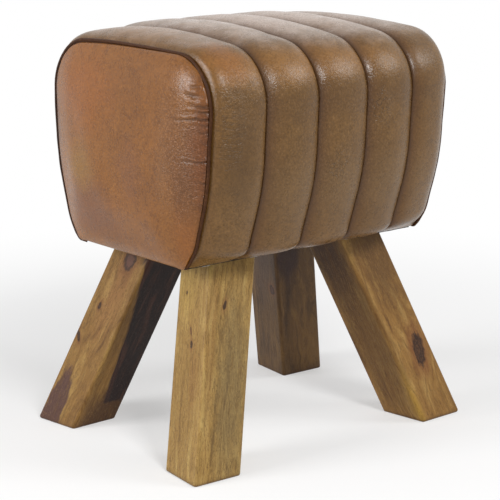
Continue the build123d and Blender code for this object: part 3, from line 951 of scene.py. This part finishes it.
# Leather
def cover_leather(
    name, shades, seed, patches, creased=(), folds=(), pale=None, polished=(), seams_shade=False,
    roughness=(0.2, 0.3), specular=0.34,
):
    """Waxed leather: its colour clouds over; painted shade darkens its seams and the creases and
    folds near them, and a painted sheen lightens raised grain in creased areas.
    """
    dark, middle, light = shades
    material, graph, shader = new_material(
        name, IOR=1.48, Specular_IOR_Level=specular, Coat_Weight=0.05, Coat_Roughness=0.16
    )
    place = graph.millimetres()
    shifted = place + (seed, 2 * seed, 0)
    marks = dict(place=place, rough_place=shifted * (0.05, 0.05, 0.05), inner=0.2)
    clouds = graph.noise(shifted, 0.014, 3, 0.5, 0.3)
    mottle = graph.noise(shifted, 0.085, 5, 0.6, 0.3)
    specks = graph.noise(shifted, 0.42, 3, 0.6)
    tone = clouds * 0.3 + mottle * 0.3 + specks * 0.36
    colour = graph.mix(graph.step(tone, 0.24, 0.54), dark, middle)
    colour = graph.mix(graph.step(tone, 0.46, 0.72), colour, light)
    for centre, size, tint, strength in patches:
        mask = graph.place(patch, centre=centre, size=size, ragged=0.8, **marks)["mask"]
        colour = graph.mix(mask * strength, colour, tint)
    if seams_shade:
        # Painted shade by the seams: a warm shadow band on the +X side of each seam, and darker
        # leather down in each seam groove
        from_seam = graph.split(place)[0] + channel_pitch / 2
        beyond = graph.math("FLOORED_MODULO", from_seam, channel_pitch)
        seam_shadow_band = graph.math("EXPONENT", beyond * -0.1)
        colour = graph.mix(seam_shadow_band * 0.85, colour, seam_shadow_brown)
        distance = graph.math("PINGPONG", from_seam, channel_pitch / 2)
        shade = graph.math("EXPONENT", distance * -0.4)
        colour = graph.mix(shade * 0.75, colour, painted_shade_brown)
    grain = graph.place(hide_grain, place=shifted, pebble=0.5, net=0.03)
    colour = graph.mix(graph.step(specks, 0.62, 0.38, 0.0, 0.3), colour, dark)
    colour = graph.mix(grain["pits"] * 0.06, colour, dark)
    height = grain["height"]
    for kind, run, centre, size, depth, strength, lift in creased:
        net = graph.place(kind, run=shifted * run, place=place, centre=centre, size=size)
        height = net["height"] * depth + height
        # Raised grain in creased areas is lightened toward the pale colour: a painted sheen
        colour = graph.mix(net["height"] * lift, colour, pale)
        # Painted shade along the crease lines
        colour = graph.mix(net["dark"] * strength, colour, painted_shade_brown)
    wobble = graph.noise(shifted, 0.07, 2) - 0.5
    for centre, size, tilt, depth, strength in folds:
        along = graph.local(place, centre, (radians(tilt), 0, 0), size)
        crease = graph.place(fold, place=along, wobble=wobble * (5 / size[2]))
        height = crease["height"] * depth + height
        # Painted shade in each fold's valley
        colour = graph.mix(crease["dark"] * strength, colour, painted_shade_brown)
    rough = specks * 0.1 + graph.step(mottle, 0.3, 0.7, *roughness)
    for centre, size in polished:
        mask = graph.place(patch, centre=centre, size=size, ragged=0.6, **marks)["mask"]
        rough = mask * -0.12 + rough
    surface(graph, shader, colour, rough, height, 1.2)
    return material


orange_tan = (164, 98, 40)
seam_shadow_brown = (86, 52, 23)
grey_brown = (146, 116, 94)
painted_shade_brown = (58, 36, 20)
# Patches: centre, half sizes, tint, strength
cap_patches = (
    ((-185, 70, 400), (70, 80, 60), (148, 84, 32), 0.45),
    ((-182, -108, 330), (60, 36, 110), (112, 68, 28), 0.45),
    # Painted shade along the cap's back edge
    ((-175, 147, 330), (40, 26, 140), (72, 42, 20), 0.9),
    ((-185, 60, 265), (60, 80, 45), (108, 68, 46), 0.65),
    ((-187, 72, 314), (60, 36, 36), (140, 104, 42), 0.5),
    ((-187, -24, 322), (60, 30, 46), (118, 76, 52), 0.35),
    # Darker strip where the cap turns toward the front piping, partly painted shade; the lighter
    # strip after it is a painted sheen
    ((-181, -116, 300), (40, 22, 90), (96, 58, 26), 0.4),
    ((-183, -86, 300), (40, 16, 100), (156, 108, 58), 0.2),
    # Red-brown band by the front piping: leather tone with painted shade where the cap turns into
    # the seam
    ((-175, -142, 352), (40, 28, 100), (104, 55, 20), 0.85),
    ((-180, -112, 258), (40, 26, 40), orange_tan, 0.25),
    ((-185, 0, 222), (60, 150, 16), grey_brown, 0.4),
)
# Creased areas: kind, run, centre, half sizes, depth, darkness of painted shade along the creases,
# paleness of painted sheen on raised grain
cap_creases = (
    (pull_creases, (0.014, 0.014, 0.1), (-176, -136, 350), (40, 30, 90), 0.5, 0.06, 0.0),
    (crackle, (0.26, 0.3, 0.4), (-180, -114, 352), (60, 66, 120), 0.16, 0.36, 0.12),
)
# Single folds by the front piping: centre, half sizes, tilt, depth, darkness of painted shade in the
# fold's valley
cap_folds = (
    ((-181, -127, 423), (40, 10, 1.6), 0, 0.5, 0.35),
    ((-181, -125, 413.5), (40, 13, 2.4), 6, 1.0, 0.5),
    ((-176, -146, 403), (40, 34, 2.0), 0, 1.3, 0.55),
    ((-176, -146, 396.5), (40, 27, 1.8), -2, 1.2, 0.5),
    ((-176, -146, 389.5), (40, 60, 1.4), -3, 1.0, 0.5),
    ((-176, -146, 382), (40, 26, 1.8), 3, 0.8, 0.42),
    ((-176, -146, 375), (40, 26, 1.8), 0, 0.8, 0.42),
    ((-176, -146, 364), (40, 22, 1.6), 3, 0.6, 0.35),
    ((-176, -144, 345), (40, 46, 1.4), -2, 0.9, 0.45),
    ((-176, -144, 333), (40, 20, 1.6), 2, 0.5, 0.3),
    ((-176, -142, 321), (40, 24, 1.6), 5, 0.7, 0.35),
    ((-176, -140, 296), (40, 26, 1.8), 10, 0.6, 0.3),
)
side_patches = (
    # Painted sheen: the tops of the channels are lightened to a pale grey-mauve, standing in for a
    # grazing reflection of the white surroundings
    ((35, 0, 486), (250, 210, 48), (210, 190, 177), 0.93),
    ((-140, 20, 480), (40, 180, 50), (160, 118, 80), 0.5),
    ((0, -150, 320), (260, 60, 60), (100, 74, 42), 0.3),
    ((20, -165, 398), (230, 50, 26), (82, 56, 28), 0.45),
    ((10, -165, 300), (240, 50, 44), (126, 97, 58), 0.3),
    ((-138, -160, 345), (26, 50, 90), (80, 56, 28), 0.45),
    ((0, -110, 226), (220, 40, 22), grey_brown, 0.35),
    ((-60, -150, 438), (200, 60, 24), (168, 116, 56), 0.45),
    ((-142, -130, 446), (30, 60, 30), orange_tan, 0.4),
)
side_creases = (
    (pull_creases, (0.05, 0.05, 0.3), (-152, -158, 380), (22, 50, 60), 0.45, 0.06, 0.0),
    (pull_creases, (0.12, 0.1, 0.12), (-8, -160, 325), (20, 40, 34), 0.6, 0.1, 0.0),
    (pull_creases, (0.14, 0.1, 0.1), (52, -160, 385), (18, 40, 28), 0.6, 0.1, 0.0),
    (crackle, (0.28, 0.3, 0.34), (-130, -160, 410), (60, 60, 60), 0.2, 0.2, 0.15),
    (crackle, (0.34, 0.4, 0.22), (0, -160, 350), (190, 60, 150), 0.1, 0.16, 0.1),
)
cap_shades = ((90, 51, 13), (128, 79, 24), (148, 95, 39))
side_shades = ((78, 52, 15), (110, 78, 34), (134, 98, 52))
piping_shades = ((46, 24, 10), (68, 39, 18), (94, 60, 32))
# Painted shade: the piping is darkened at the back, where it faces away from the lamps
piping_patches = (((-170, 150, 330), (30, 90, 170), (44, 26, 16), 0.9),)
# The pale colours passed to the cap and channel leather are painted sheen on raised grain
cap_leather = cover_leather(
    "end leather", cap_shades, 11, cap_patches, cap_creases, cap_folds, (196, 150, 120),
    polished=(((-181, -118, 420), (60, 40, 40)),),
)
channel_leather = cover_leather(
    "channel leather", side_shades, 47, side_patches, side_creases, (), (166, 134, 100),
    polished=(((0, -145, 412), (240, 46, 36)),), seams_shade=True,
)
piping_leather = cover_leather(
    "piping leather", piping_shades, 83, piping_patches, roughness=(0.42, 0.5), specular=0.12
)
finish_with(channel_leather, *channels)
finish_with(cap_leather, *caps)
finish_with(piping_leather, *pipings)


# Timber of the legs. Places are in millimetres on the leg: X and Y across it from its middle
# line, Z up along it from the floor.
def leg_timber(name, way, heart, ring, shades, zones, knots, heartwood=()):
    """Waxed hardwood with the grain along one leg, and with that leg's own marks."""
    material, graph, shader = new_material(name, IOR=1.5, Specular_IOR_Level=0.2)
    stand = leg_frame(*way)
    source = graph.source("TexCoord", "Object")
    place = graph.local(source, stand.translation, stand.to_euler(), (mm, mm, mm))
    rough_place = place * (0.14, 0.14, 0.05)
    ragged_place = place * (0.3, 0.3, 0.15)
    bend, marks = 0.0, []
    for centre, size, tilt, push, tint in knots:
        local = graph.local(place, centre, [radians(angle) for angle in tilt], size)
        mark = graph.place(knot, place=local, rough_place=ragged_place)
        bend = mark["spread"] * push + bend
        marks.append((mark, tint))
    grain = graph.place(timber_grain, place=place, heart=heart, bend=bend, ring=ring)
    tone = grain["tone"]
    dark, middle, light = shades
    colour = graph.mix(graph.step(tone, 0.34, 0.5), dark, middle)
    colour = graph.mix(graph.step(tone, 0.48, 0.66), colour, light)
    for centre, size, tint, strength, inner in zones:
        mask = graph.place(
            patch, place=place, centre=centre, size=size, rough_place=rough_place, ragged=0.7,
            inner=inner,
        )["mask"]
        colour = graph.mix(mask * strength, colour, tint)
    colour = graph.mix(grain["lines"] * 0.4, colour, dark)
    colour = graph.mix(graph.step(grain["flecks"], 0.5, 0.7, 0.0, 0.6), colour, pore_brown)
    colour = graph.mix(graph.step(grain["flecks"], 0.5, 0.3, 0.0, 0.3), colour, light)
    # Lighter within a few millimetres of each arris: partly wear, partly a painted highlight on the
    # rounded edges
    x, y, _ = graph.split(abs(place))
    inset = leg_side / 2 - graph.math("MINIMUM", x, y)
    edge_wear_and_highlight = graph.step(inset, 0.6, 3.0, 0.25, 0.0) * graph.step(tone, 0.45, 0.6)
    colour = graph.mix(edge_wear_and_highlight, colour, light)
    if heartwood:
        share = 1.0
        for point, normal in heartwood:
            height = graph.math("DOT_PRODUCT", place - point, normal)
            share = graph.step(height + (tone - 0.5) * 22.0, -1.5, 2.0) * share
        streaked = graph.mix(graph.step(tone, 0.45, 0.65), heart_dark, heart_brown)
        colour = graph.mix(share, colour, streaked)
    for mark, tint in marks:
        if tint is not None:
            colour = graph.mix(mark["stain"] * 0.45, colour, stain_brown)
            colour = graph.mix(mark["core"] * 0.92, colour, tint)
            colour = graph.mix(mark["rim"] * 0.75, colour, knot_brown)
    colour = graph.mix(grain["pores"] * 0.4, colour, pore_brown)
    near_floor = graph.step(graph.split(source)[2], 0.0, 0.006, 0.6, 0.0)
    colour = graph.mix(near_floor, colour, pore_brown)
    rough = graph.step(grain["flecks"], 0.3, 0.7, 0.36, 0.5)
    surface(graph, shader, colour, rough, grain["height"], 0.2)
    return material


heart_dark = (34, 22, 20)
heart_brown = (70, 44, 34)
pore_brown = (74, 48, 26)
knot_brown = (40, 26, 20)
stain_brown = (116, 72, 42)
straight = (0, 0, 0)
# Zones: centre, half sizes, tint, strength, inner share. Knots: centre, half sizes, tilt, push on
# the grain, tint, or none where only the grain bends. Heartwood: planes, as a point and a normal.
leg_looks = {
    "leg_back_left": dict(
        heart=(60, 40, 0), ring=4.5, shades=((92, 63, 30), (130, 95, 48), (158, 125, 70)),
        zones=(
            ((-30, 10, -34), (14, 18, 92), (78, 52, 48), 0.95, 0.9),
            ((-30, -6, 170), (16, 24, 90), (148, 104, 62), 0.5, 0.2),
            ((12, -30, 10), (44, 14, 66), (72, 46, 26), 0.95, 0.5),
            ((-24, -30, 110), (8, 14, 120), (112, 82, 40), 0.5, 0.3),
        ),
        knots=(
            ((-30, -3.5, 210), (8, 8, 12), straight, 9.0, (88, 60, 54)),
            ((-30, 11, 142), (3, 2.2, 4), straight, 4.0, knot_brown),
            ((-30, 22, 96.6), (4, 2.4, 6.5), (-35, 0, 0), 5.0, knot_brown),
            ((-30, -1.2, 91), (6, 6, 8), straight, 7.0, None),
        ),
        heartwood=(
            ((-25, -30, 190), (0.989, 0, 0.15)), ((0, -30, 38), (-0.25, 0, 0.97)),
            ((0, 8, 0), (0, -1, 0)),
        ),
    ),
    "leg_front_left": dict(
        heart=(-70, -110, 0), ring=5.5, shades=((110, 82, 42), (158, 125, 69), (188, 158, 96)),
        zones=(
            ((-22, -30, 120), (7, 8, 160), (136, 100, 56), 0.6, 0.2),
            ((-30, 4, 110), (10, 50, 190), (134, 101, 52), 0.5, 0.3),
            ((8, -30, 90), (30, 8, 150), (116, 97, 64), 0.75, 0.3),
            ((-30, -12, 100), (10, 12, 60), (136, 96, 50), 0.5, 0.2),
            ((-30, 10, 200), (10, 26, 50), (190, 158, 84), 0.4, 0.2),
        ),
        knots=(
            ((-30, -3.5, 137), (3, 2.2, 4.5), straight, 5.0, knot_brown),
            ((-30, -1, 152), (2, 1.2, 5), (-12, 0, 0), 3.0, stain_brown),
            ((-30, 12, 196), (2, 1.2, 2), straight, 2.0, knot_brown),
            ((-7.8, -30, 181), (2, 2, 5.5), (0, 12, 0), 4.0, knot_brown),
            ((6, -30, 40), (9, 8, 40), straight, 26.0, None),
        ),
    ),
    "leg_back_right": dict(
        heart=(20, 70, 0), ring=4.5, shades=((58, 40, 24), (89, 64, 35), (118, 88, 48)),
        zones=(
            ((-30, 0, 200), (16, 40, 90), (78, 60, 52), 0.6, 0.3),
            ((-12, -30, 215), (22, 16, 62), (50, 34, 34), 0.9, 0.5),
            ((10, -30, 60), (40, 16, 60), (124, 90, 44), 0.4, 0.3),
            ((-30, -30, 0), (60, 60, 22), (74, 50, 30), 0.6, 0.2),
        ),
        knots=(((-30, -18.8, 153), (6, 4.6, 6.5), straight, 7.0, heart_brown),),
    ),
    "leg_front_right": dict(
        heart=(50, 60, 0), ring=5.0, shades=((94, 63, 29), (137, 100, 51), (165, 131, 75)),
        zones=(
            # Painted shade: the top of the inner face, under the seat, is darkened
            ((-30, 4, 235), (22, 36, 116), (58, 39, 32), 0.92, 0.35),
            ((-30, 0, 110), (14, 40, 120), (98, 69, 35), 0.7, 0.3),
            ((8, -30, 205), (40, 14, 95), (88, 62, 34), 0.8, 0.2),
            ((-28, -30, 20), (9, 14, 60), (184, 146, 66), 0.6, 0.2),
            ((10, -30, 76), (20, 14, 38), (122, 76, 40), 0.7, 0.3),
        ),
        knots=(
            ((10.4, -30, 76), (8, 8, 19), (0, 15, 0), 20.0, knot_brown),
            ((6, -30, 52), (6, 6, 9), (0, 20, 0), 8.0, None),
        ),
    ),
}
for node, look in leg_looks.items():
    material = leg_timber(f"timber {node[4:].replace('_', ' ')}", leg_ways[node], **look)
    finish_with(material, nodes[node])


# Boards, foam and fittings inside and under the seat
def plywood(name, thickness_way, face_way):
    """Birch plywood: layers on its edges and long grain on its faces."""
    material, graph, shader = new_material(name, Specular_IOR_Level=0.3)
    place = graph.millimetres()
    layer = graph.math("SINE", graph.math("DOT_PRODUCT", place, thickness_way) * 2.1)
    normal = graph.source("NewGeometry", "Normal")
    facing = abs(graph.math("DOT_PRODUCT", normal, thickness_way))
    stretch = [0.01 if share else 0.12 for share in face_way]
    grain = graph.noise(place * stretch, 1.0, 5, 0.65, 0.4)
    fine = graph.noise(place * [8 * s for s in stretch], 1.0, 3)
    face = graph.mix(graph.step(grain, 0.35, 0.65), (206, 174, 128), (224, 196, 150))
    edge = graph.mix(graph.step(layer, -0.3, 0.3), (150, 112, 74), (206, 176, 132))
    colour = graph.mix(graph.step(facing, 0.6, 0.8), edge, face)
    colour = graph.mix(graph.step(fine, 0.6, 0.4, 0.0, 0.3), colour, (168, 132, 90))
    surface(graph, shader, colour, graph.step(fine, 0.3, 0.7, 0.55, 0.7), fine, 0.1)
    return material


along, across, upright = (1, 0, 0), (0, 1, 0), (0, 0, 1)
for node, thickness_way, face_way in (
    ("base_board", upright, along), ("top_board", upright, along),
    ("end_panel_left", along, across), ("end_panel_right", along, across),
    ("side_board_front", across, along), ("side_board_back", across, along),
    ("mid_rib", along, across),
):
    board = plywood(f"plywood {node.replace('_', ' ')}", thickness_way, face_way)
    finish_with(board, nodes[node])


def spotted(name, scale, first, second, roughness, relief, stretch=(1, 1, 1), **plain):
    """Plain finish with small spots of two colours and a fine relief."""
    material, graph, shader = new_material(name, **plain)
    place = graph.millimetres() * stretch
    spots = graph.noise(place, scale, 4, 0.65)
    share = graph.noise(place, scale / 12, 2) * 0.5 + spots * 0.5
    colour = graph.mix(graph.step(share, 0.35, 0.65), first, second)
    surface(graph, shader, colour, graph.step(spots, 0.3, 0.7, *roughness), spots, relief)
    return material


wood = spotted(
    "block beech", 1.2, (178, 130, 88), (200, 156, 112), (0.5, 0.65), 0.1, (0.05, 1, 1)
)
steel = spotted(
    "zinc steel", 0.8, (150, 152, 150), (186, 188, 190), (0.28, 0.42), 0.02, Metallic=1.0
)
foam = spotted("foam", 1.6, (214, 200, 150), (236, 226, 186), (0.9, 1.0), 0.4)
fibre = spotted("wadding", 0.9, (222, 222, 218), (242, 242, 240), (0.9, 1.0), 0.6, (1, 1, 0.3))
cotton = spotted("cotton", 2.5, (206, 196, 172), (230, 222, 202), (0.85, 0.95), 0.15)
cloth = spotted("underside cloth", 1.8, (22, 22, 24), (44, 43, 44), (0.85, 0.95), 0.25)
fittings = ("carcass_screws", "leg_inserts", "leg_bolt_washers", "leg_bolts")
finish_with(wood, nodes["leg_mounting_blocks"])
finish_with(steel, *(nodes[node] for node in fittings + ("hem_staples", "dust_cover_staples")))
finish_with(foam, *foams)
finish_with(fibre, *waddings)
finish_with(cotton, *piping_cords)
finish_with(cloth, underside_cloth)


# Camera at the photograph's angle
def way_from_stool(azimuth, elevation):
    """Unit vector from the stool; azimuth 0 is its front, -90 its left side."""
    turn, rise = radians(azimuth), radians(elevation)
    return Vector((sin(turn) * cos(rise), -cos(turn) * cos(rise), sin(rise)))


camera_distance = 2.062
camera_target = Vector((0, 0, 0.2018))
camera = linked("camera", bpy.data.cameras.new("camera"))
camera.data.lens = 127.21
camera.data.sensor_width = 36
camera.data.sensor_fit = "HORIZONTAL"
camera_way = way_from_stool(-39.53, 13.21)
camera.location = camera_target + camera_way * camera_distance
camera.rotation_euler = (-camera_way).to_track_quat("-Z", "Y").to_euler()
scene.camera = camera

# Studio: pale floor, white surroundings and soft lamps
surroundings_light = 0.36
floor_radius = 6
floor_glow = 0.4
lamp_target = Vector((0, 0, 0.28))
white = (1, 1, 1, 1)


def camera_share(graph):
    """1 for rays that look straight, by gloss or through glass, 0 for the light itself."""
    kinds = ("Camera", "Glossy", "Transmission")
    straight_on, by_gloss, through = [graph.source("LightPath", f"Is {kind} Ray") for kind in kinds]
    return graph.math("MAXIMUM", graph.math("MAXIMUM", straight_on, by_gloss), through)


def make_surroundings():
    """World that lights softly and looks white."""
    scene.world = bpy.data.worlds.new("studio")
    scene.world.use_nodes = True
    graph = Graph(scene.world.node_tree)
    lit = graph.fed(graph.tree.nodes["Background"], (white, surroundings_light))
    seen = graph.fed(graph.add("Background"), (white, 1.0))
    graph.fed(graph.tree.nodes["World Output"], (graph.shaders(camera_share(graph), lit, seen),))


def make_floor():
    """Pale floor that fades into the white surroundings away from the stool, unseen from below."""
    pick()
    bpy.ops.mesh.primitive_circle_add(vertices=96, radius=floor_radius, fill_type="NGON")
    floor = bpy.context.object
    floor.name = "floor"
    material, graph, shader = new_material("pale floor", Roughness=0.9, Specular_IOR_Level=0.1)
    pale = graph.fed(shader, {"Base Color": (0.95, 0.95, 0.95, 1)})
    distance = graph.math("LENGTH", graph.source("TexCoord", "Object"))
    far = graph.step(distance, 0.35, 1.1, floor_glow, 1.0)
    glow = graph.fed(graph.add("Emission"), {"Strength": 1.0})
    both = graph.shaders(far * camera_share(graph), pale, glow)
    below = graph.source("NewGeometry", "Backfacing") * graph.source("LightPath", "Is Camera Ray")
    both = graph.shaders(below, both, graph.source("BsdfTransparent", 0))
    graph.fed(graph.tree.nodes["Material Output"], {"Surface": both})
    finish_with(material, floor)


def make_lamp(name, azimuth, elevation, distance, width, height, power):
    """Soft lamp that faces the middle of the stool."""
    lamp = linked(name, bpy.data.lights.new(name, "AREA"))
    lamp.data.shape = "RECTANGLE"
    lamp.data.size = width
    lamp.data.size_y = height
    lamp.data.energy = power
    way = way_from_stool(azimuth, elevation)
    lamp.location = lamp_target + way * distance
    lamp.rotation_euler = way.to_track_quat("Z", "Y").to_euler()


make_surroundings()
make_floor()
make_lamp("left lamp", -105, 19, 2.4, 1.0, 0.9, 34)
make_lamp("front lamp", -13, 40, 2.4, 0.6, 0.6, 27)
make_lamp("right lamp", 50, 35, 2.6, 0.9, 0.9, 16)
scene.view_settings.view_transform = "Standard"
